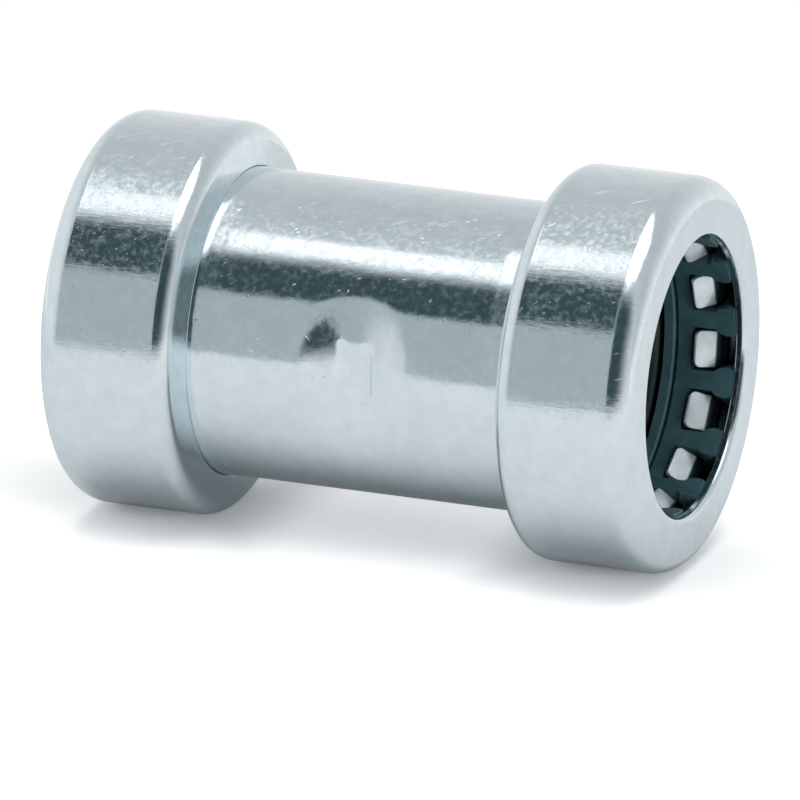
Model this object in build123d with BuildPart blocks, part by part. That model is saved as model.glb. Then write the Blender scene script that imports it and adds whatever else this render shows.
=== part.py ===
"""Push-fit reducing connector for copper tube: a plated body with a push-fit socket at each end.

Millimetres. The fitting stands on its smaller socket: +Z is the axis of both tubes, z = 0 is
the mouth face of the small end and z = overall_length is the mouth face of the large end.
Every piece of a socket is drawn in that socket's own section plane, where x is the radius and
y is the depth below the mouth face.
"""

import os
from collections import namedtuple
from math import cos, radians, sin, tan

from build123d import *

# Tubes that the sockets take
large_tube_radius = 11.0
small_tube_radius = 10.75
bore_clearance = 0.10
mouth_clearance = 0.36

# Body
overall_length = 50.8
body_wall = 1.39
cup_wall = 1.12
neck_collar_height = 0.56
neck_collar_reach = 0.65
neck_collar_round = 0.2
neck_root_round = 0.12
neck_taper_height = 0.1
neck_taper_reach = 1.5
cup_corner_round = 0.8
cup_floor_wall = 0.8
bore_lead_in = 0.4
bore_land_step = 0.35
bore_land_length = 5.4
bore_land_bevel = 0.2

# End caps, drawn over the cups of the body and rolled in behind them
cap_wall = 0.95
cap_front_round = 2.0
cap_rear_round = 1.5
cap_rear_gap = 0.12
cap_rear_edge_round = 0.4
mouth_edge_round = 0.5

# Grab ring
tooth_count = 14
first_tooth_angle = 5.0
tooth_width = 3.1
tooth_lean = 51.0
tooth_trim = 0.2
steel_thickness = 0.5
tooth_grip = 0.10

# Guide ring, with a finger through each gap of the grab ring
hook_thickness = 1.15
hook_reach = 1.4
finger_thickness = 0.95
slot_width = 3.5
finger_head_radius = 1.4
finger_head_drop = 0.6
tooth_relief = 0.55
guide_base_thickness = 1.39
guide_edge_bevel = 0.25
sleeve_clearance = 0.15

# Backing washer and O-ring
washer_thickness = 0.95
washer_edge_bevel = 0.2
o_ring_section = 3.0
o_ring_grip = 0.12

# Clearances between pieces that bear on each other
seat_gap = 0.05
finger_gap = 0.25
tooth_tip_gap = 0.15

# Tube stop: dents punched in from opposite sides
stop_height = 26.0
first_stop_angle = 267.0
stop_count = 2
stop_reach = 0.6
stop_length = 9.0
stop_width = 4.8
dish_length = 8.0
dish_angle = 55.0
dish_depth = 0.5
punch_length = 7.4
punch_width = 3.0
punch_depth = 1.05
punch_taper = 12.0

End = namedtuple("End", "name mouth_height inward tube_radius stop_depth")
small_end = End("small", 0.0, 1, small_tube_radius, stop_height)
large_end = End("large", overall_length, -1, large_tube_radius, overall_length - stop_height)

# How far a tooth reaches from the grab ring's rim, towards the axis and deeper into the socket
tooth_span = sleeve_clearance + finger_thickness + finger_gap + tooth_grip
tooth_inwards = tooth_span + tooth_trim * cos(radians(tooth_lean))
tooth_deeper = tooth_inwards * tan(radians(tooth_lean))
tooth_back_inwards = steel_thickness * sin(radians(tooth_lean))
tooth_back_deeper = steel_thickness * cos(radians(tooth_lean))

# Depths below a mouth face at which the pieces of a socket bear on each other
hook_top = cap_wall + seat_gap
rim_top = hook_top + hook_thickness + seat_gap
rim_bottom = rim_top + steel_thickness
flange_top = rim_bottom + seat_gap
slot_floor = rim_top + tooth_deeper + tooth_back_deeper + tooth_tip_gap
guide_bottom = slot_floor + guide_base_thickness
washer_top = guide_bottom + seat_gap
washer_bottom = washer_top + washer_thickness
cup_top = washer_bottom + seat_gap
cup_floor = cup_top + o_ring_section + seat_gap
shoulder = cup_floor + cup_floor_wall
cap_rear_inside = shoulder + seat_gap
cap_length = cap_rear_inside + cap_wall

# Radii of the body and the caps, worked outwards from the larger tube
neck_radius = large_tube_radius + bore_clearance + body_wall
neck_collar_radius = neck_radius + neck_collar_height
cup_radius = large_tube_radius - o_ring_grip + o_ring_section + cup_wall
cap_inside_radius = cup_radius + seat_gap
cap_radius = cap_inside_radius + cap_wall
cap_rear_hole_radius = neck_collar_radius + cap_rear_gap
bore_land_radius = small_tube_radius + bore_clearance - bore_land_step
stop_radius = bore_land_radius - stop_reach


def section_plane(end):
    """The plane through the axis in which x is the radius and y the depth in this socket."""
    return Plane(origin=(0, 0, end.mouth_height), x_dir=(1, 0, 0), z_dir=(0, -end.inward, 0))


def outward_plane(end, radius):
    """A plane that faces outwards at a radius, with y the depth in this socket."""
    return Plane(origin=(radius, 0, end.mouth_height), x_dir=(0, end.inward, 0), z_dir=(1, 0, 0))


def nearest(sketch, radius, depth):
    return sketch.vertices().sort_by_distance((radius, depth))[0]


def bore_radius(end):
    return end.tube_radius + bore_clearance


def sleeve_radius(end):
    """The inside of the guide ring and of the backing washer, which the tube slides through."""
    return end.tube_radius + sleeve_clearance


def finger_back(end):
    """The outside of the guide ring's fingers where they pass through the grab ring."""
    return sleeve_radius(end) + finger_thickness


def rim_radius(end):
    """The inside of the grab ring's flat rim, clear of the guide ring's fingers."""
    return finger_back(end) + finger_gap


def body_section(end):
    """The section of half of the body, from the cup of one socket to the tube stop."""
    bore = bore_radius(end)
    seal_radius = end.tube_radius - o_ring_grip + o_ring_section
    collar_end = cap_length + neck_collar_reach
    neck_root_radius = neck_radius + neck_taper_height
    land_start = end.stop_depth - bore_land_length / 2
    with BuildSketch(section_plane(end)) as wall:
        with BuildLine():
            Polyline(
                (bore_land_radius, end.stop_depth),
                (bore_land_radius, land_start),
                (bore, land_start),
                (bore, cup_floor),
                (seal_radius, cup_floor),
                (seal_radius, cup_top),
                (cup_radius, cup_top),
                (cup_radius, shoulder),
                (neck_collar_radius, shoulder),
                (neck_collar_radius, collar_end),
                (neck_root_radius, collar_end),
                (neck_radius, collar_end + neck_taper_reach),
                (neck_radius, end.stop_depth),
                close=True,
            )
        make_face()
        fillet(nearest(wall, cup_radius, shoulder), cup_corner_round)
        fillet(nearest(wall, neck_collar_radius, collar_end), neck_collar_round)
        fillet(nearest(wall, neck_root_radius, collar_end), neck_root_round)
        chamfer(nearest(wall, bore, cup_floor), bore_lead_in)
        chamfer(nearest(wall, bore_land_radius, land_start), bore_land_bevel)
    return wall.sketch


def stop_directions():
    """The body's axis frames in which local +X points at each dent."""
    step = 360 / stop_count
    angles = [first_stop_angle + step * n for n in range(stop_count)]
    return [Plane(origin=(0, 0, stop_height), z_dir=(0, 0, 1)).rotated((0, 0, a)) for a in angles]


def make_body():
    """The body: a cup at each end, a plain neck, and the dents that stop the tubes."""
    dish_radius = (dish_length**2 / 4 + dish_depth**2) / (2 * dish_depth)
    dish_floor = neck_radius - dish_depth
    dish_rim = neck_radius * cos(radians(dish_angle / 2))
    hoop_offset = (neck_radius**2 - dish_floor**2) / (2 * (dish_floor - dish_rim))
    punch_floor = neck_radius - punch_depth
    with BuildPart() as body:
        revolve(body_section(small_end), axis=Axis.Z)
        revolve(body_section(large_end), axis=Axis.Z)
        for direction in stop_directions():
            outwards = Plane(origin=direction.origin, x_dir=direction.y_dir, z_dir=direction.x_dir)
            with BuildSketch(outwards.offset(stop_radius)):
                SlotOverall(stop_length, stop_width)
            extrude(amount=neck_radius - stop_radius - dish_depth)
            with Locations(direction.location * Pos(-hoop_offset, 0, 0)):
                Torus(dish_floor + hoop_offset + dish_radius, dish_radius, mode=Mode.SUBTRACT)
            with BuildSketch(outwards.offset(punch_floor)):
                SlotOverall(punch_length, punch_width)
            extrude(amount=punch_depth, taper=-punch_taper, mode=Mode.SUBTRACT)
    body.part.label = "body"
    return body.part


def make_end_cap(end):
    """Drawn cap: a flat front with the mouth in it, a plain skirt and a rolled-in rear edge."""
    mouth_radius = end.tube_radius + mouth_clearance
    with BuildPart() as cap:
        with BuildSketch(section_plane(end)) as wall:
            with BuildLine():
                Polyline(
                    (mouth_radius, 0),
                    (cap_radius, 0),
                    (cap_radius, cap_length),
                    (cap_rear_hole_radius, cap_length),
                    (cap_rear_hole_radius, cap_rear_inside),
                    (cap_inside_radius, cap_rear_inside),
                    (cap_inside_radius, cap_wall),
                    (mouth_radius, cap_wall),
                    close=True,
                )
            make_face()
            fillet(nearest(wall, cap_radius, 0), cap_front_round)
            fillet(nearest(wall, cap_inside_radius, cap_wall), cap_front_round - cap_wall)
            fillet(nearest(wall, cap_radius, cap_length), cap_rear_round)
            fillet(nearest(wall, cap_inside_radius, cap_rear_inside), cap_rear_round - cap_wall)
            fillet(nearest(wall, cap_rear_hole_radius, cap_length), cap_rear_edge_round)
            fillet(nearest(wall, mouth_radius, 0), mouth_edge_round)
        revolve(axis=Axis.Z)
    cap.part.label = f"{end.name}_end_cap"
    return cap.part


def make_tooth(end):
    """One tooth with the stretch of rim that it is bent down from."""
    rim = rim_radius(end)
    bend = rim + tooth_back_inwards - (steel_thickness - tooth_back_deeper) / tan(radians(tooth_lean))
    with BuildPart() as tooth:
        with BuildSketch(section_plane(end)):
            with BuildLine():
                Polyline(
                    (rim, rim_top),
                    (rim - tooth_inwards, rim_top + tooth_deeper),
                    (
                        rim - tooth_inwards + tooth_back_inwards,
                        rim_top + tooth_deeper + tooth_back_deeper,
                    ),
                    (bend, rim_bottom),
                    (rim + steel_thickness, rim_bottom),
                    (rim + steel_thickness, rim_top),
                    close=True,
                )
            make_face()
        extrude(amount=tooth_width / 2, both=True)
    return tooth.part


def make_grab_ring(end):
    """Stainless ring: a flat rim with a crown of teeth bent down and in to bite the tube."""
    rim = rim_radius(end)
    tooth = make_tooth(end)
    with BuildPart() as ring:
        with BuildSketch(section_plane(end)):
            with BuildLine():
                Polyline(
                    (rim, rim_top),
                    (cup_radius, rim_top),
                    (cup_radius, rim_bottom),
                    (rim, rim_bottom),
                    close=True,
                )
            make_face()
        revolve(axis=Axis.Z)
        with PolarLocations(0, tooth_count, start_angle=first_tooth_angle):
            add(tooth)
        with BuildSketch(Plane.XY.offset(end.mouth_height)):
            Circle(end.tube_radius - tooth_grip)
        extrude(amount=end.inward * cup_floor, mode=Mode.SUBTRACT)
    ring.part.label = f"{end.name}_grab_ring"
    return ring.part


def make_finger_slot(end, outer_radius, floor):
    """The cutter for the gap between two fingers, with the fingers' round heads left standing."""
    half_pitch = sin(radians(180 / tooth_count)) * finger_back(end)
    head_depth = hook_top + finger_head_drop
    inner_radius = end.tube_radius / 2
    with BuildPart() as slot:
        with BuildSketch(outward_plane(end, inner_radius)):
            with Locations((0, floor / 2)):
                Rectangle(slot_width, floor)
            with Locations((-half_pitch, head_depth), (half_pitch, head_depth)):
                Circle(finger_head_radius, mode=Mode.SUBTRACT)
        extrude(amount=outer_radius - inner_radius)
    return slot.part


def make_guide_ring(end):
    """Castellated ring: fingers reach through the grab ring and hook over its rim."""
    sleeve = sleeve_radius(end)
    hook_radius = finger_back(end) + hook_reach
    tooth_slot = make_finger_slot(end, rim_radius(end) + tooth_relief, slot_floor)
    hook_slot = make_finger_slot(end, cap_inside_radius, rim_top)
    with BuildPart() as guide:
        with BuildSketch(section_plane(end)) as wall:
            with BuildLine():
                Polyline(
                    (sleeve, hook_top),
                    (hook_radius, hook_top),
                    (hook_radius, hook_top + hook_thickness),
                    (finger_back(end), hook_top + hook_thickness),
                    (finger_back(end), flange_top),
                    (cup_radius, flange_top),
                    (cup_radius, guide_bottom),
                    (sleeve, guide_bottom),
                    close=True,
                )
            make_face()
            chamfer(nearest(wall, sleeve, guide_bottom), guide_edge_bevel)
        revolve(axis=Axis.Z)
        with PolarLocations(0, tooth_count, start_angle=first_tooth_angle):
            add(tooth_slot, mode=Mode.SUBTRACT)
            add(hook_slot, mode=Mode.SUBTRACT)
    guide.part.label = f"{end.name}_guide_ring"
    return guide.part


def make_backing_washer(end):
    """Plain washer that keeps the O-ring off the guide ring."""
    sleeve = sleeve_radius(end)
    with BuildPart() as washer:
        with BuildSketch(section_plane(end)) as wall:
            with BuildLine():
                Polyline(
                    (sleeve, washer_top),
                    (cup_radius, washer_top),
                    (cup_radius, washer_bottom),
                    (sleeve, washer_bottom),
                    close=True,
                )
            make_face()
            chamfer(nearest(wall, sleeve, washer_top), washer_edge_bevel)
        revolve(axis=Axis.Z)
    washer.part.label = f"{end.name}_backing_washer"
    return washer.part


def make_o_ring(end):
    """O-ring that lies in the body's cup and seals on the tube."""
    ring_radius = end.tube_radius - o_ring_grip + o_ring_section / 2
    middle_depth = (cup_top + cup_floor) / 2
    with BuildPart() as seal:
        with Locations((0, 0, end.mouth_height + end.inward * middle_depth)):
            Torus(ring_radius, o_ring_section / 2)
    seal.part.label = f"{end.name}_o_ring"
    return seal.part


def make_socket(end):
    return [
        make_end_cap(end),
        make_guide_ring(end),
        make_grab_ring(end),
        make_backing_washer(end),
        make_o_ring(end),
    ]


os.makedirs("parts", exist_ok=True)
for piece in [make_body(), *make_socket(small_end), *make_socket(large_end)]:
    export_step(piece, f"parts/{piece.label}.step")
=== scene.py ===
import math

import bmesh
import bpy
from mathutils import Matrix, Vector


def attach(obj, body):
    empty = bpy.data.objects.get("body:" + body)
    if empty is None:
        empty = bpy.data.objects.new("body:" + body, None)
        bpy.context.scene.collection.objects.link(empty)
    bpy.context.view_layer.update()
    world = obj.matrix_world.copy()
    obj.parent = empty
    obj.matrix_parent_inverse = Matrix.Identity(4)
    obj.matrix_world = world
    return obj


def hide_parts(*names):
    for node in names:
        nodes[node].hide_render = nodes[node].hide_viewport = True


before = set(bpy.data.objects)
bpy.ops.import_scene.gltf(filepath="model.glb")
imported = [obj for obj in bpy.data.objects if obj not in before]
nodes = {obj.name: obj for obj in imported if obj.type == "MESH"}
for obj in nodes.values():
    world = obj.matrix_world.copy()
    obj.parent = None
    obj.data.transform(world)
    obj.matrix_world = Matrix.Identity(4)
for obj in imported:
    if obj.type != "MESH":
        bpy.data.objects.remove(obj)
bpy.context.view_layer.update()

millimetre = 0.001
halfLength = 25.4  # of the fitting, in millimetres
print("frame loaded:", ", ".join(sorted(nodes)))


# A socket with its tree, so that a sum on sockets adds the nodes for it
class Flow:
    def __init__(self, tree, socket=None):
        self.tree = tree
        self.socket = socket

    def node(self, kind, settings=None, sockets=None, take=0):
        made = self.tree.nodes.new(kind)
        for name, value in (settings or {}).items():
            if name == "stops":
                self.fillRamp(made.color_ramp, value)
            else:
                setattr(made, name, value)
        for name, value in (sockets or {}).items():
            target = self.find(made.inputs, name)
            if isinstance(value, Flow):
                self.tree.links.new(value.socket, target)
            else:
                target.default_value = value
        return Flow(self.tree, self.find(made.outputs, take)) if made.outputs else None

    def find(self, sockets, name):
        if isinstance(name, int):
            return [s for s in sockets if s.enabled][name]
        return next(s for s in sockets if s.name == name and s.enabled)

    def fillRamp(self, ramp, stops):
        while len(ramp.elements) > 1:
            ramp.elements.remove(ramp.elements[0])
        for number, (place, colour) in enumerate(stops):
            stop = ramp.elements[0] if number == 0 else ramp.elements.new(place)
            stop.position = place
            stop.color = (*colour, 1)

    def output(self, name):
        return Flow(self.tree, self.find(self.socket.node.outputs, name))

    def maths(self, operation, *values):
        return self.node("ShaderNodeMath", {"operation": operation}, dict(enumerate(values)))

    def vectors(self, operation, *values, take=0):
        return self.node("ShaderNodeVectorMath", {"operation": operation},
                         dict(enumerate(values)), take)

    # 0 at low, 1 at high, with soft ends
    def step(self, low, high):
        return self.node("ShaderNodeMapRange", {"interpolation_type": "SMOOTHSTEP"},
                         {"Value": self, "From Min": low, "From Max": high})

    def colours(self, factor, first, second):
        return self.node("ShaderNodeMix", {"data_type": "RGBA"},
                         {"Factor": factor, "A": first, "B": second}, "Result")

    def __add__(self, other):
        return self.maths("ADD", self, other)

    def __sub__(self, other):
        return self.maths("SUBTRACT", self, other)

    def __rsub__(self, other):
        return self.maths("SUBTRACT", other, self)

    def __mul__(self, other):
        return self.maths("MULTIPLY", self, other)

    def __truediv__(self, other):
        return self.maths("DIVIDE", self, other)

    def __rtruediv__(self, other):
        return self.maths("DIVIDE", other, self)

    def __pow__(self, other):
        return self.maths("POWER", self, other)

    def __rpow__(self, other):
        return self.maths("POWER", other, self)

    def __abs__(self):
        return self.maths("ABSOLUTE", self)

    __radd__ = __add__
    __rmul__ = __mul__


def newMaterial(name):
    material = bpy.data.materials.new(name)
    material.use_nodes = True
    material.node_tree.nodes.clear()
    return material, Flow(material.node_tree)


# Object coordinates in millimetres
def surfacePlaces(flow):
    coordinates = flow.node("ShaderNodeTexCoord", take="Object")
    return flow.vectors("MULTIPLY", coordinates, (1000, 1000, 1000))


# A scale of 1 gives features of about a millimetre
def noise(flow, place, scale, detail=3.0, roughness=0.55, stretch=(1, 1, 1)):
    placed = flow.vectors("MULTIPLY", place, tuple(scale * s for s in stretch))
    return flow.node("ShaderNodeTexNoise", sockets={
        "Vector": placed, "Scale": 1.0, "Detail": detail, "Roughness": roughness}, take="Fac")


# Height is in millimetres
def bumped(flow, height):
    return flow.node("ShaderNodeBump", sockets={
        "Strength": 1.0, "Distance": millimetre, "Height": height})


def solid(colour, share=1.0):
    return (*(share * c for c in colour), 1)


# The bump heights, from peel to scratches, are in millimetres
bodyPlating = {
    "colour": (0.80, 0.88, 0.92),
    "cloudShade": 0.93,
    "stain": (0.34, 0.42, 0.45),
    "stainStrength": 0.35,
    "roughness": 0.080,
    "mottle": 0.10,
    "scratchRoughness": 0.08,
    "peel": 0.020,
    "grain": 0.0034,
    "streaks": 0.0015,
    "bruises": 0.014,
    "scratches": 0.008,
}

capPlating = {
    **bodyPlating,
    "roughness": 0.085,
    "mottle": 0.13,
    "peel": 0.015,
    "streaks": 0.0070,
    "bruises": 0.010,
}


# Bright plate over drawn metal: soft peel, fine grain, drawing streaks along the axis, small
# bruises, short scratches in the worn places and a few stains
def platedMetal(name, finish):
    material, flow = newMaterial(name)
    place = surfacePlaces(flow)
    peel = noise(flow, place, 0.42, 2.0)
    grain = noise(flow, place, 3.0, 3.0, 0.6)
    streaks = noise(flow, place, 1.0, 3.0, 0.6, (3.6, 3.6, 0.5))
    worn = noise(flow, place, 0.12, 2.0).step(0.45, 0.60)
    slanted = flow.node("ShaderNodeVectorRotate", {"rotation_type": "AXIS_ANGLE"},
                        {"Vector": place, "Axis": (0.6, 0.4, 0.7), "Angle": 0.9})
    bruises = noise(flow, slanted, 1.0, 1.5, 0.5, (2.8, 2.8, 1.1)).step(0.71, 0.82)
    scratches = noise(flow, slanted, 1.0, 1.0, 0.5, (6.0, 6.0, 0.35)).step(0.72, 0.77) * worn
    height = ((peel - 0.5) * finish["peel"] + (grain - 0.5) * finish["grain"]
              + (streaks - 0.5) * finish["streaks"]
              - bruises * finish["bruises"] - scratches * finish["scratches"])
    mottle = noise(flow, place, 2.0, 3.0, 0.6).step(0.38, 0.72)
    roughness = (finish["roughness"] + mottle * finish["mottle"]
                 + scratches * finish["scratchRoughness"])
    stain = noise(flow, place, 1.6, 3.0).step(0.70, 0.76) * finish["stainStrength"]
    clouds = noise(flow, place, 0.7, 5.0, 0.6).step(0.3, 0.7)
    plate = flow.colours(clouds, solid(finish["colour"], finish["cloudShade"]),
                         solid(finish["colour"]))
    colour = flow.colours(stain, plate, solid(finish["stain"]))
    shader = flow.node("ShaderNodeBsdfPrincipled", sockets={
        "Base Color": colour, "Metallic": 1.0, "Roughness": roughness,
        "Normal": bumped(flow, height)})
    flow.node("ShaderNodeOutputMaterial", sockets={"Surface": shader})
    return material


plastics = {
    "guide": {"colour": (0.030, 0.071, 0.082), "roughness": 0.36},
    "washer": {"colour": (0.032, 0.072, 0.083), "roughness": 0.42},
    "seal": {"colour": (0.004, 0.008, 0.009), "roughness": 0.30},
    "cloudTint": 1.35,
    "cloudRoughness": 0.12,
    "texture": 0.004,  # its height, in millimetres
}


def mouldedPlastic(name, finish):
    material, flow = newMaterial(name)
    place = surfacePlaces(flow)
    texture = noise(flow, place, 3.0, 4.0)
    cloudy = noise(flow, place, 0.6, 3.0)
    tone = flow.colours(cloudy.step(0.3, 0.7), solid(finish["colour"]),
                        solid(finish["colour"], plastics["cloudTint"]))
    shader = flow.node("ShaderNodeBsdfPrincipled", sockets={
        "Base Color": tone,
        "Roughness": finish["roughness"] + (cloudy - 0.5) * plastics["cloudRoughness"],
        "Normal": bumped(flow, (texture - 0.5) * plastics["texture"])})
    flow.node("ShaderNodeOutputMaterial", sockets={"Surface": shader})
    return material


springSteel = {
    "colour": (0.80, 0.87, 0.90),
    "cloudShade": 0.86,
    # painted shade: the dark colour given to the teeth's roots, near the rim
    "shade": (0.02, 0.035, 0.04),
    "paintedShadeDepth": (2.68, 2.86),  # behind the mouth, where the painted shade on the teeth's roots gives way to the steel's colour
    "roughness": 0.36,
    "cloudRoughness": 0.15,
    "metallic": 0.8,
    "lines": 0.003,  # their height, in millimetres
}


# Stamped strip: rolling lines across the teeth, with painted shade darkening their roots
def stampedSteel(name, finish):
    material, flow = newMaterial(name)
    place = surfacePlaces(flow)
    lines = noise(flow, place, 2.0, 3.0, 0.6, (1, 1, 4))
    cloudy = noise(flow, place, 0.8, 3.0)
    tone = flow.colours(cloudy.step(0.3, 0.75), solid(finish["colour"]),
                        solid(finish["colour"], finish["cloudShade"]))
    height = flow.node("ShaderNodeSeparateXYZ", sockets={0: place}, take="Z")
    depth = halfLength - abs(height - halfLength)
    # painted shade: the base colour turns dark towards the teeth's roots, by depth from the mouth
    tone = flow.colours(depth.step(*finish["paintedShadeDepth"]), solid(finish["shade"]), tone)
    shader = flow.node("ShaderNodeBsdfPrincipled", sockets={
        "Base Color": tone, "Metallic": finish["metallic"],
        "Roughness": finish["roughness"] + (cloudy - 0.5) * finish["cloudRoughness"],
        "Normal": bumped(flow, (lines - 0.5) * finish["lines"])})
    flow.node("ShaderNodeOutputMaterial", sockets={"Surface": shader})
    return material


bodyPlate = platedMetal("bodyPlate", bodyPlating)
capPlate = platedMetal("capPlate", capPlating)
guidePlastic = mouldedPlastic("guidePlastic", plastics["guide"])
washerPlastic = mouldedPlastic("washerPlastic", plastics["washer"])
sealRubber = mouldedPlastic("sealRubber", plastics["seal"])
ringSteel = stampedSteel("ringSteel", springSteel)
print("materials made")


edgeSupport = 0.04  # millimetres from a rounding's end


# The outline of a turned piece: corners of (radius, height, rounding), in millimetres. A point
# close beside each rounding keeps the shading of the straight runs flat.
def outline(corners, arcSteps):
    points = []
    count = len(corners)
    for number, (radius, height, rounding) in enumerate(corners):
        here = Vector((radius, height))
        before = (Vector(corners[number - 1][:2]) - here).normalized()
        after = (Vector(corners[(number + 1) % count][:2]) - here).normalized()
        if not rounding:
            points.append(here)
            continue
        half = before.angle(after) / 2
        start = here + before * rounding / math.tan(half)
        end = here + after * rounding / math.tan(half)
        centre = here + (before + after).normalized() * rounding / math.sin(half)
        points.append(start + before * edgeSupport)
        first, last = start - centre, end - centre
        turn = math.atan2(first.x * last.y - first.y * last.x, first.dot(last))
        for part in range(arcSteps + 1):
            swing = turn * part / arcSteps
            points.append(centre + Vector((
                first.x * math.cos(swing) - first.y * math.sin(swing),
                first.x * math.sin(swing) + first.y * math.cos(swing))))
        points.append(end + after * edgeSupport)
    return points


# Extra points along the straight runs, closer together where the spacing asks for it. None comes
# within 2 % of a run's end.
def divided(points, spacing):
    full = []
    for number, point in enumerate(points):
        following = points[(number + 1) % len(points)]
        full.append(point)
        place = 0.0
        length = (following - point).length
        while True:
            place += spacing(point.lerp(following, place / length)) if length else 1.0
            if place >= length * 0.98:
                break
            full.append(point.lerp(following, place / length))
    return full


def groupTree(name, inputs):
    tree = bpy.data.node_groups.new(name, "GeometryNodeTree")
    tree.is_modifier = True
    for way in ("INPUT", "OUTPUT"):
        tree.interface.new_socket(name="Geometry", in_out=way, socket_type="NodeSocketGeometry")
    for label, (kind, value) in inputs.items():
        socket = tree.interface.new_socket(
            name=label, in_out="INPUT", socket_type="NodeSocket" + kind)
        if value is not None:
            socket.default_value = value
    return tree


# Both trees end in this: instances made real and the material set
def closeTree(flow, given, geometry):
    real = flow.node("GeometryNodeRealizeInstances", sockets={"Geometry": geometry})
    painted = flow.node("GeometryNodeSetMaterial", sockets={
        "Geometry": real, "Material": given.output("Material")})
    flow.node("NodeGroupOutput", sockets={"Geometry": painted})


# In metres, as the trees work
dentBlend = 0.00008
mergeDistance = 2e-6
dishFade = 1.9  # above 1, the dish runs out softly


# The outline's points swept round the axis. Dents face two opposite ways, where the turning steps
# lie closer together, and press the outside in and the bore's wall with it.
def turnedTree():
    tree = groupTree("turnedPiece", {
        "Steps": ("Int", 256),
        "Crowding": ("Float", 0.0),
        "Dent Angle": ("Float", 0.0),
        "Dent Height": ("Float", 0.0),
        "Dish Length": ("Float", 0.01),
        "Dish Width": ("Float", 0.01),
        "Dish Depth": ("Float", 0.0),
        "Punch Length": ("Float", 0.01),
        "Punch Width": ("Float", 0.005),
        "Punch Floor": ("Float", 1.0),
        "Punch Edge": ("Float", 0.0005),
        "Boss Length": ("Float", 0.01),
        "Boss Width": ("Float", 0.005),
        "Boss Top": ("Float", 1.0),
        "Boss Edge": ("Float", 0.0005),
        "Wall Middle": ("Float", 1.0),
        "Material": ("Material", None),
    })
    flow = Flow(tree)
    given = flow.node("NodeGroupInput", take="Geometry")
    steps = given.output("Steps")
    count = flow.node("GeometryNodeAttributeDomainSize", {"component": "MESH"},
                      {"Geometry": given}, "Point Count")
    grid = flow.node("GeometryNodeMeshGrid", sockets={
        "Size X": 1.0, "Size Y": 1.0, "Vertices X": count, "Vertices Y": steps + 1})
    index = flow.node("GeometryNodeInputIndex")
    column = flow.maths("FLOOR", (index + 0.5) / (steps + 1))
    row = index - column * (steps + 1)
    position = flow.node("GeometryNodeInputPosition")
    sampled = flow.node("GeometryNodeSampleIndex", {"data_type": "FLOAT_VECTOR", "domain": "POINT"},
                        {"Geometry": given, "Value": position, "Index": column})
    parts = flow.node("ShaderNodeSeparateXYZ", sockets={0: sampled})
    radius, height = parts, parts.output("Z")
    sweep = row / steps * math.tau
    turn = sweep - given.output("Crowding") / 2 * flow.maths("SINE", sweep * 2)
    # seen along the dent: out is towards it, side across it
    out = radius * flow.maths("COSINE", turn)
    side = radius * flow.maths("SINE", turn)
    facing = flow.maths("SIGN", out)
    depth = abs(out)
    up = height - given.output("Dent Height")
    dishAcross = side / (given.output("Dish Length") / 2)
    dishUp = up / (given.output("Dish Width") / 2)
    inDish = flow.maths("MAXIMUM", 1 - dishAcross * dishAcross - dishUp * dishUp, 0.0)

    def slotDistance(length, width):
        beyond = flow.maths("MAXIMUM", abs(side) - (length - width) / 2, 0.0)
        return (beyond * beyond + up * up) ** 0.5 - width / 2

    pressed = depth - inDish ** dishFade * given.output("Dish Depth")
    punch = slotDistance(given.output("Punch Length"), given.output("Punch Width"))
    punchEdge = given.output("Punch Edge")
    punchIn = 1 - punch.step(punchEdge * -0.5, punchEdge * 0.5)
    floored = flow.maths("SMOOTH_MIN", pressed, given.output("Punch Floor"), dentBlend)
    outside = pressed + (floored - pressed) * punchIn
    boss = slotDistance(given.output("Boss Length"), given.output("Boss Width"))
    bossIn = 1 - boss.step(given.output("Boss Edge") * -1.0, 0.0)
    topped = flow.maths("MINIMUM", depth, given.output("Boss Top"))
    inside = depth + (topped - depth) * bossIn
    isOutside = flow.maths("GREATER_THAN", radius, given.output("Wall Middle"))
    moved = inside + (outside - inside) * isOutside
    # only what faces a dent moves
    faces = flow.maths("GREATER_THAN", depth, radius * 0.5)
    placed = facing * (depth + (moved - depth) * faces)
    across = flow.node("ShaderNodeCombineXYZ", sockets={"X": placed, "Y": side, "Z": height})
    spot = flow.node("ShaderNodeVectorRotate", {"rotation_type": "Z_AXIS"},
                     {"Vector": across, "Angle": given.output("Dent Angle")})
    shaped = flow.node("GeometryNodeSetPosition", sockets={"Geometry": grid, "Position": spot})
    merged = flow.node("GeometryNodeMergeByDistance", sockets={
        "Geometry": shaped, "Distance": mergeDistance})
    smooth = flow.node("GeometryNodeSetShadeSmooth", sockets={
        "Geometry": merged, "Shade Smooth": True})
    closeTree(flow, given, smooth)
    return tree


# Runs a geometry tree on a start mesh and keeps the result as a plain mesh
def evaluated(name, startMesh, tree, values, material):
    start = bpy.data.objects.new(name + "Start", startMesh)
    bpy.context.scene.collection.objects.link(start)
    modifier = start.modifiers.new("shape", "NODES")
    modifier.node_group = tree
    given = {**values, "Material": material}
    for item in tree.interface.items_tree:
        if item.in_out == "INPUT" and item.name in given:
            modifier[item.identifier] = given[item.name]
    bpy.context.view_layer.update()
    depsgraph = bpy.context.evaluated_depsgraph_get()
    mesh = bpy.data.meshes.new_from_object(start.evaluated_get(depsgraph))
    mesh.name = name
    bpy.data.objects.remove(start)
    work = bmesh.new()
    work.from_mesh(mesh)
    bmesh.ops.recalc_face_normals(work, faces=work.faces)
    work.to_mesh(mesh)
    work.free()
    mesh.materials.clear()
    mesh.materials.append(material)
    piece = bpy.data.objects.new(name, mesh)
    bpy.context.scene.collection.objects.link(piece)
    return piece


def profileMesh(name, points):
    mesh = bpy.data.meshes.new(name)
    closed = [*points, points[0]]
    mesh.from_pydata([(p.x * millimetre, 0, p.y * millimetre) for p in closed], [], [])
    return mesh


def finished(piece, replaced):
    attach(piece, "root")
    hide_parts(replaced)
    print(piece.name, len(piece.data.polygons), "faces")


turnedPiece = turnedTree()

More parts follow.
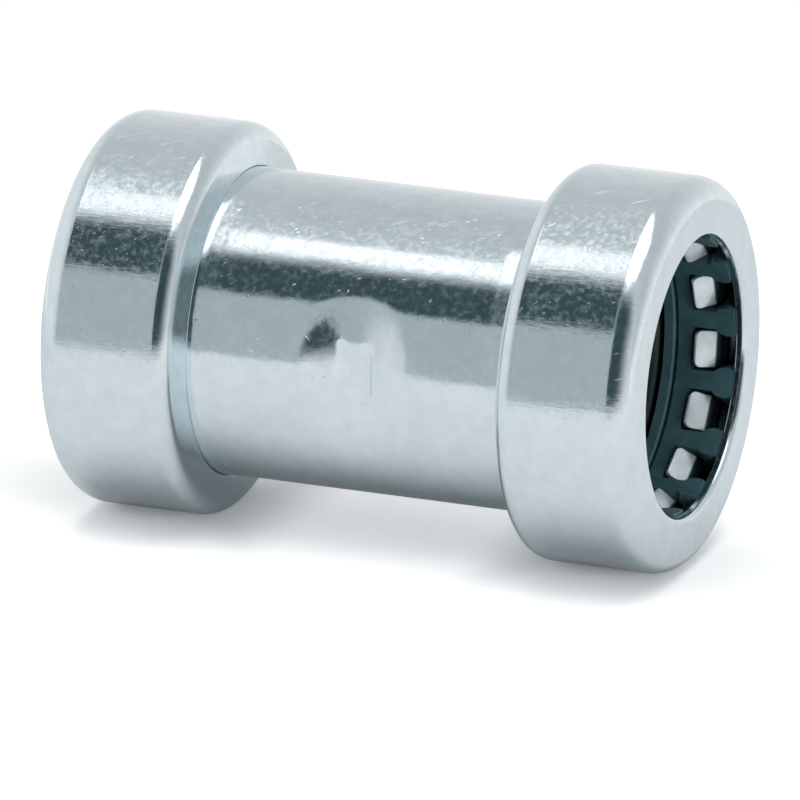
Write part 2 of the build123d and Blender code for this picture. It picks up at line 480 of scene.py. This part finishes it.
capShape = {
    "radius": 16.0,
    "length": 11.90,
    "wall": 0.95,
    "mouth": {"large": 11.36, "small": 11.11},
    "rearHole": 12.58,
    "rearSlope": 0.55,
    "frontRound": 2.0,
    "rearRound": 1.5,
    "mouthRound": 0.5,
    "mouthInnerRound": 0.12,
    "rearEdgeRound": 0.14,
    "steps": 288,
    "arcSteps": 12,
    "spacing": 1.5,
}


# Heights run inward from the mouth's face
def makeCap(end, mouthHeight, inward):
    shape = capShape
    radius, length, wall = shape["radius"], shape["length"], shape["wall"]
    mouth, hole = shape["mouth"][end], shape["rearHole"]
    corners = [
        (mouth, 0, shape["mouthRound"]),
        (radius, 0, shape["frontRound"]),
        (radius, length - shape["rearSlope"], shape["rearRound"]),
        (hole, length, shape["rearEdgeRound"]),
        (hole, length - wall, 0),
        (radius - wall, length - wall, shape["rearRound"] - wall),
        (radius - wall, wall, shape["frontRound"] - wall),
        (mouth, wall, shape["mouthInnerRound"]),
    ]
    points = divided(outline(corners, shape["arcSteps"]), lambda point: shape["spacing"])
    points = [Vector((p.x, mouthHeight + inward * p.y)) for p in points]
    piece = evaluated(end + "Cap", profileMesh(end, points), turnedPiece,
                      {"Steps": shape["steps"]}, capPlate)
    finished(piece, end + "_end_cap")


bodyShape = {
    "length": 2 * halfLength,
    "neck": 12.49,
    "root": 12.60,
    "rootEnd": 13.8,  # where the neck's flare ends, from the mouth
    "cup": 15.0,
    "cupTop": 7.05,
    "cupFloor": 10.10,
    "shoulder": 10.90,
    "bore": {"large": 11.10, "small": 10.85},
    "seal": {"large": 13.88, "small": 13.63},
    "landRadius": 10.5,
    "landLength": 5.4,
    "flareRound": 16.0,
    "rootRound": 0.05,
    "shoulderRound": 0.8,
    "cornerRound": 0.1,
    "boreRound": 0.35,
    "landRound": 0.15,
    "steps": 380,
    "arcSteps": 6,
    "dentHeight": 26.0,
    "dent": {
        "Crowding": 0.62,
        "Dent Angle": math.radians(267.0),
        "Dish Length": 14.8 * millimetre,
        "Dish Width": 10.6 * millimetre,
        "Dish Depth": 0.67 * millimetre,
        "Punch Length": 7.4 * millimetre,
        "Punch Width": 2.9 * millimetre,
        "Punch Floor": 11.68 * millimetre,
        "Punch Edge": 0.50 * millimetre,
        "Boss Length": 9.0 * millimetre,
        "Boss Width": 4.8 * millimetre,
        "Boss Top": 9.9 * millimetre,
        "Boss Edge": 0.8 * millimetre,
        "Wall Middle": 11.3 * millimetre,
    },
}


# The land inside, level with the dents, is what the tubes stop at
def makeBody():
    shape = bodyShape
    middle = shape["dentHeight"]

    # from the neck round the cup to the land
    def endCorners(end, height, landHeight):
        bore, seal = shape["bore"][end], shape["seal"][end]
        cup, corner = shape["cup"], shape["cornerRound"]
        return [
            (shape["neck"], height(shape["rootEnd"]), shape["flareRound"]),
            (shape["root"], height(shape["shoulder"]), shape["rootRound"]),
            (cup, height(shape["shoulder"]), shape["shoulderRound"]),
            (cup, height(shape["cupTop"]), corner),
            (seal, height(shape["cupTop"]), corner),
            (seal, height(shape["cupFloor"]), corner),
            (bore, height(shape["cupFloor"]), shape["boreRound"]),
            (bore, landHeight, corner),
            (shape["landRadius"], landHeight, shape["landRound"]),
        ]

    # finer at the punch, the dish and the boss
    def spacing(point):
        fromDent = abs(point.y - middle)
        if 12 < point.x < 12.6 and fromDent < 5.4:
            return 0.12 if fromDent < 2 else 0.25
        return 0.3 if fromDent < 3 and point.x < 12 else 2.0

    halfLand = shape["landLength"] / 2
    small = endCorners("small", lambda depth: depth, middle - halfLand)
    large = endCorners("large", lambda depth: shape["length"] - depth, middle + halfLand)
    points = divided(outline(small + large[::-1], shape["arcSteps"]), spacing)
    piece = evaluated("bodyShell", profileMesh("body", points), turnedPiece,
                      {"Steps": shape["steps"], "Dent Height": middle * millimetre,
                       **shape["dent"]}, bodyPlate)
    finished(piece, "body")


crownShape = {
    "rim": {"large": 12.35, "small": 12.10},
    "tip": {"large": 10.86, "small": 10.61},
    "outer": 14.98,
    "rimTop": 2.21,
    "rimInset": 0.1,
    "rimSteps": 12,
    "thickness": 0.46,
    "lean": math.radians(51),
    "bend": 1.4,
    "bendSteps": 8,
    "rootOverlap": 0.35,  # how far a tooth reaches into the rim
    "width": 3.06,
    "tipRound": 0.55,
    "edgeRound": 0.10,
    "edgeSteps": 4,
    "tipBreak": 0.7,  # of the edge's rounding, taken off each face at the tip
    "rings": (0.25, 0.5, 0.72, 0.8, 0.87, 0.92, 0.96, 0.985, 1.0),  # along the straight part
    "count": 14,
    "firstAngle": math.radians(5),
}


# Places down the middle of a bent tooth as (radius, depth), each with its lean
def toothLine(rim, tip):
    shape = crownShape
    lean, bend = shape["lean"], shape["bend"]
    middle = shape["rimTop"] + shape["thickness"] / 2
    reach = bend * math.tan(lean / 2)
    line = [(Vector((rim + reach + shape["rootOverlap"], middle)), 0.0)]
    centre = Vector((rim + reach, middle + bend))
    for part in range(shape["bendSteps"] + 1):
        swing = lean * part / shape["bendSteps"]
        line.append((centre + bend * Vector((-math.sin(swing), -math.cos(swing))), swing))
    last = line[-1][0]
    along = Vector((-math.cos(lean), math.sin(lean)))
    length = (last.x - tip) / math.cos(lean)
    for share in shape["rings"]:
        line.append((last + along * length * share, lean))
    return line


# One tooth, bent down from the rim, with a rounded tip and broken edges
def toothMesh(end, mouthHeight, inward):
    shape = crownShape
    line = toothLine(shape["rim"][end], shape["tip"][end])
    tip = line[-1][0]
    edge, tipRound = shape["edgeRound"], shape["tipRound"]
    work = bmesh.new()
    rings = []
    for place, swing in line:
        trim = max(0.0, tipRound - (place - tip).length)
        half = shape["width"] / 2 - tipRound + math.sqrt(tipRound ** 2 - trim ** 2)
        thick = shape["thickness"] / 2 - (edge * shape["tipBreak"] if place is tip else 0.0)
        across = Vector((math.sin(swing), math.cos(swing)))
        ring = []
        for corner, (sideSign, faceSign) in enumerate(((1, 1), (-1, 1), (-1, -1), (1, -1))):
            for part in range(shape["edgeSteps"] + 1):
                swung = math.pi / 2 * (corner + part / shape["edgeSteps"])
                side = sideSign * (half - edge) + edge * math.cos(swung)
                face = faceSign * (thick - edge) + edge * math.sin(swung)
                spot = place + across * face
                ring.append(work.verts.new((
                    spot.x * millimetre, side * millimetre,
                    (mouthHeight + inward * spot.y) * millimetre)))
        rings.append(ring)
    for first, second in zip(rings, rings[1:]):
        for number in range(len(first)):
            following = (number + 1) % len(first)
            work.faces.new((first[number], first[following], second[following], second[number]))
    work.faces.new(rings[0])
    work.faces.new(rings[-1])
    for face in work.faces:
        face.smooth = True
    mesh = bpy.data.meshes.new(end + "Tooth")
    work.to_mesh(mesh)
    work.free()
    return mesh


# Copies of the start mesh round the axis, joined to a flat rim
def crownTree():
    tree = groupTree("crown", {
        "Count": ("Int", 14),
        "First Angle": ("Float", 0.0),
        "Rim Radius": ("Float", 0.013),
        "Rim Width": ("Float", 0.002),
        "Rim Thickness": ("Float", 0.0005),
        "Rim Height": ("Float", 0.0),
        "Rim Steps": ("Int", 12),
        "Material": ("Material", None),
    })
    flow = Flow(tree)
    given = flow.node("NodeGroupInput", take="Geometry")
    count = given.output("Count")
    spots = flow.node("GeometryNodePoints", sockets={"Count": count})
    index = flow.node("GeometryNodeInputIndex")
    angle = given.output("First Angle") + index * math.tau / count
    turn = flow.node("ShaderNodeCombineXYZ", sockets={"Z": angle})
    rotation = flow.node("FunctionNodeEulerToRotation", sockets={"Euler": turn})
    copies = flow.node("GeometryNodeInstanceOnPoints", sockets={
        "Points": spots, "Instance": given, "Rotation": rotation})
    circle = flow.node("GeometryNodeCurvePrimitiveCircle", sockets={
        "Resolution": count * given.output("Rim Steps"),
        "Radius": given.output("Rim Radius")}, take="Curve")
    section = flow.node("GeometryNodeCurvePrimitiveQuadrilateral", sockets={
        "Width": given.output("Rim Width"), "Height": given.output("Rim Thickness")}, take="Curve")
    rim = flow.node("GeometryNodeCurveToMesh", sockets={"Curve": circle, "Profile Curve": section})
    lift = flow.node("ShaderNodeCombineXYZ", sockets={"Z": given.output("Rim Height")})
    placed = flow.node("GeometryNodeTransform", sockets={"Geometry": rim, "Translation": lift})
    flat = flow.node("GeometryNodeSetShadeSmooth", sockets={
        "Geometry": placed, "Shade Smooth": False})
    joined = flow.node("GeometryNodeJoinGeometry", sockets={"Geometry": flat})
    tree.links.new(copies.socket, joined.socket.node.inputs["Geometry"])
    closeTree(flow, given, joined)
    return tree


crownOfTeeth = crownTree()


def makeCrown(end, mouthHeight, inward):
    shape = crownShape
    inner = shape["rim"][end] + shape["rimInset"]
    rimDepth = shape["rimTop"] + shape["thickness"] / 2
    piece = evaluated(end + "Crown", toothMesh(end, mouthHeight, inward), crownOfTeeth, {
        "Count": shape["count"],
        "First Angle": shape["firstAngle"],
        "Rim Radius": (inner + shape["outer"]) / 2 * millimetre,
        "Rim Width": (shape["outer"] - inner) * millimetre,
        "Rim Thickness": shape["thickness"] * millimetre,
        "Rim Height": (mouthHeight + inward * rimDepth) * millimetre,
        "Rim Steps": shape["rimSteps"],
    }, ringSteel)
    finished(piece, end + "_grab_ring")


stack = {
    "_guide_ring": guidePlastic,
    "_backing_washer": washerPlastic,
    "_o_ring": sealRubber,
}


# The rings round the tube keep their own meshes
def paintStack(end):
    for ring, material in stack.items():
        mesh = nodes[end + ring].data
        mesh.materials.clear()
        mesh.materials.append(material)


def makeEnd(end, mouthHeight, inward):
    makeCap(end, mouthHeight, inward)
    makeCrown(end, mouthHeight, inward)
    paintStack(end)


makeBody()
makeEnd("small", 0.0, 1)
makeEnd("large", bodyShape["length"], -1)
print("pieces made")


stage = {
    "lyingHeight": 16.02,
    "radius": 145.0,
    "shade": (0.685, 0.69, 0.69),  # as the fitting reflects it
    "cameraShade": 0.95,
    "fade": (60.0, 110.0),  # from the fitting's middle, where the floor turns into the background
    # light added to the shadow, full under the neck and beside the fitting
    "lift": 0.42,
    "leastLift": 0.3,
    "neckFade": (6.5, 14.5),
    "besideFade": (3.0, 15.0),
}


# The card that the fitting lies on in the photograph. From behind nothing of it shows.
def makeLyingFloor():
    mesh = bpy.data.meshes.new("lyingFloor")
    centre = Vector((stage["lyingHeight"], 0, halfLength))
    work = bmesh.new()
    bmesh.ops.create_circle(work, cap_ends=True, segments=64, radius=stage["radius"] * millimetre)
    bmesh.ops.rotate(work, verts=work.verts, matrix=Matrix.Rotation(math.radians(-90), 3, "Y"))
    bmesh.ops.translate(work, verts=work.verts, vec=centre * millimetre)
    work.normal_update()
    for face in work.faces:
        if face.normal.x > 0:
            face.normal_flip()
    work.to_mesh(mesh)
    work.free()
    floor = bpy.data.objects.new("lyingFloor", mesh)
    bpy.context.scene.collection.objects.link(floor)
    material, flow = newMaterial("lyingFloor")
    place = surfacePlaces(flow)
    near = 1 - flow.vectors("DISTANCE", place, tuple(centre), take="Value").step(*stage["fade"])
    seen = flow.node("ShaderNodeLightPath", take="Is Camera Ray")
    back = flow.node("ShaderNodeNewGeometry", take="Backfacing")
    parts = flow.node("ShaderNodeSeparateXYZ", sockets={0: place})
    underNeck = 1 - abs(parts.output("Z") - halfLength).step(*stage["neckFade"])
    beside = abs(parts.output("Y")).step(*stage["besideFade"])
    clearance = (flow.maths("MAXIMUM", underNeck, beside) * (1 - stage["leastLift"])
                 + stage["leastLift"])
    shaded = flow.node("ShaderNodeBsdfDiffuse", sockets={
        "Color": solid((stage["cameraShade"],) * 3)})
    lift = flow.node("ShaderNodeEmission", sockets={
        "Color": (1, 1, 1, 1), "Strength": clearance * stage["lift"]})
    lifted = flow.node("ShaderNodeAddShader", sockets={0: shaded, 1: lift})
    white = flow.node("ShaderNodeEmission", sockets={"Color": (1, 1, 1, 1), "Strength": 1.0})
    forCamera = flow.node("ShaderNodeMixShader", sockets={0: near, 1: white, 2: lifted})
    plain = flow.node("ShaderNodeBsdfDiffuse", sockets={"Color": solid(stage["shade"])})
    front = flow.node("ShaderNodeMixShader", sockets={0: seen, 1: plain, 2: forCamera})
    clear = flow.node("ShaderNodeBsdfTransparent")
    surface = flow.node("ShaderNodeMixShader", sockets={0: back, 1: front, 2: clear})
    flow.node("ShaderNodeOutputMaterial", sockets={"Surface": surface})
    mesh.materials.append(material)


makeLyingFloor()
print("floor made")

# The light by direction, in degrees: turn goes round the row's axis, rise is the angle towards
# +Z. Each edge of a card is where its fade starts and ends.
studio = {
    # the tent and the wall behind, by the turn from the lying fitting's up towards the camera
    "tent": [
        (-180, (0.72, 0.73, 0.73)),
        (-112, (0.94, 0.95, 0.95)),
        (-96, (0.86, 0.87, 0.87)),
        (-80, (0.74, 0.75, 0.75)),
        (-60, (0.64, 0.65, 0.66)),
        (-40, (0.56, 0.58, 0.59)),
        (-15, (0.53, 0.56, 0.57)),
        (15, (0.58, 0.61, 0.62)),
        (45, (0.65, 0.68, 0.69)),
        (98, (0.66, 0.68, 0.69)),
        (102, (0.72, 0.73, 0.73)),
        (180, (0.72, 0.73, 0.73)),
    ],
    "farTent": (0.80, 0.82, 0.825),
    "farTurn": (-90, -60),
    "farRise": (-52, -26),
    "greyCard": (0.43, 0.48, 0.50),
    "gap": (0.23, 0.28, 0.29),
    "dark": (0.040, 0.072, 0.078),
    "softBox": (1.9, 1.9, 1.9),
    # its long edges slant towards each other as the rise grows
    "boxLeft": {"slant": 0.5, "edge": (-24.5, -18.5)},
    "boxRight": {"slant": 0.4, "edge": (19, 30)},
    "boxRises": ((-18, -15), (24, 29)),
    "brightest": 2.0,
    # shade, turn edges, rise edges; a later card covers the ones before it
    "cards": [
        ("greyCard", ((20, 28), (95, 99)), ((-34, -23), (-11, -8))),
        ("gap", ((20, 30), (46, 56)), ((-17, -15), (-10, -7))),
        ("dark", ((16, 28), (49, 53)), ((-29, -23), (-17, -15))),
        ("dark", ((20, 38), (88, 99)), ((-11, -7), (26, 84))),
    ],
    # strips of light beside the slanted box
    "strips": [
        (((-1, 5), (12, 21)), ((-21.65, -21.05), (-19.95, -19.4))),
        (((-16, -6), (12, 21)), ((-26.0, -25.2), (-23.4, -22.7))),
    ],
}


def makeWorld():
    world = bpy.data.worlds.new("studio")
    bpy.context.scene.world = world
    world.use_nodes = True
    world.node_tree.nodes.clear()
    flow = Flow(world.node_tree)
    direction = flow.node("ShaderNodeTexCoord", take="Generated")
    parts = flow.node("ShaderNodeSeparateXYZ", sockets={0: direction})
    degrees = 180 / math.pi
    turn = flow.maths("ARCTAN2", parts.output("Y") * -1, parts * -1) * degrees
    rise = flow.maths("ARCSINE", parts.output("Z")) * degrees

    def band(value, edges):
        return value.step(*edges[0]) * (1 - value.step(*edges[1]))

    def patch(turns, rises):
        return band(turn, turns) * band(rise, rises)

    def shade(colour):
        return solid(colour, 1 / studio["brightest"])

    tent = flow.node("ShaderNodeValToRGB", {"stops": [
        ((angle + 180) / 360, shade(colour)[:3]) for angle, colour in studio["tent"]]},
        {0: (turn + 180) / 360})
    far = (1 - rise.step(*studio["farRise"])) * turn.step(*studio["farTurn"])
    light = flow.colours(far, tent, shade(studio["farTent"]))
    for name, turns, rises in studio["cards"]:
        light = flow.colours(patch(turns, rises), light, shade(studio[name]))
    left, right = studio["boxLeft"], studio["boxRight"]
    leftEdge = (turn - rise * left["slant"]).step(*left["edge"])
    rightEdge = 1 - (turn + abs(rise) * right["slant"]).step(*right["edge"])
    box = leftEdge * rightEdge * band(rise, studio["boxRises"])
    for turns, rises in studio["strips"]:
        box = flow.maths("MAXIMUM", box, patch(turns, rises))
    light = flow.colours(box, light, shade(studio["softBox"]))
    lit = flow.node("ShaderNodeBackground", sockets={
        "Color": light, "Strength": studio["brightest"]})
    white = flow.node("ShaderNodeBackground", sockets={"Color": (1, 1, 1, 1), "Strength": 1.0})
    seen = flow.node("ShaderNodeLightPath", take="Is Camera Ray")
    both = flow.node("ShaderNodeMixShader", sockets={0: seen, 1: lit, 2: white})
    flow.node("ShaderNodeOutputWorld", sockets={"Surface": both})


makeWorld()

# In metres and watts
lamps = {
    "fill": {
        "place": (-0.42, -0.12, 0.06),
        "aim": (0.016, 0, 0.0254),
        "size": 0.30,
        "power": 0.75,
    },
    "mouthFill": {
        "place": (-0.06, -0.18, 0.42),
        "aim": (0, 0.004, 0.05),
        "size": 0.14,
        "power": 1.1,
    },
}


# Soft boxes over the lying fitting, for the floor, and before its mouth, for the plastic
def makeLamp(name, settings):
    lamp = bpy.data.lights.new(name, "AREA")
    lamp.size = settings["size"]
    lamp.energy = settings["power"]
    holder = bpy.data.objects.new(name, lamp)
    holder.location = settings["place"]
    towards = Vector(settings["aim"]) - holder.location
    holder.rotation_euler = towards.to_track_quat("-Z", "Y").to_euler()
    holder.visible_glossy = False
    bpy.context.scene.collection.objects.link(holder)


for lampName, lampSettings in lamps.items():
    makeLamp(lampName, lampSettings)
print("light made")

# Lens and sensor in millimetres, distance and aim in metres, angles in degrees
photoCamera = {
    "lens": 591.7,
    "sensor": 36.0,
    "distance": 1.0585,
    "aim": (0.00512, 0.0, 0.02527),
    "turn": 21.68,
    "rise": 18.75,
    "reach": 10.0,
}


# The fitting lies with its axis to the right, so the picture's up is the row's -X
def makeCamera():
    turn, rise = math.radians(photoCamera["turn"]), math.radians(photoCamera["rise"])
    level = math.cos(rise)
    back = Vector((-math.sin(rise), -level * math.cos(turn), level * math.sin(turn)))
    right = Vector((0, math.sin(turn), math.cos(turn)))
    up = back.cross(right)
    camera = bpy.data.cameras.new("photoCamera")
    camera.lens = photoCamera["lens"]
    camera.sensor_width = photoCamera["sensor"]
    camera.clip_end = photoCamera["reach"]
    holder = bpy.data.objects.new("photoCamera", camera)
    place = Vector(photoCamera["aim"]) + back * photoCamera["distance"]
    turned = Matrix((right, up, back)).transposed().to_4x4()
    holder.matrix_world = Matrix.Translation(place) @ turned
    bpy.context.scene.collection.objects.link(holder)
    bpy.context.scene.camera = holder


makeCamera()
bpy.context.scene.view_settings.view_transform = "Standard"

print("scene made")
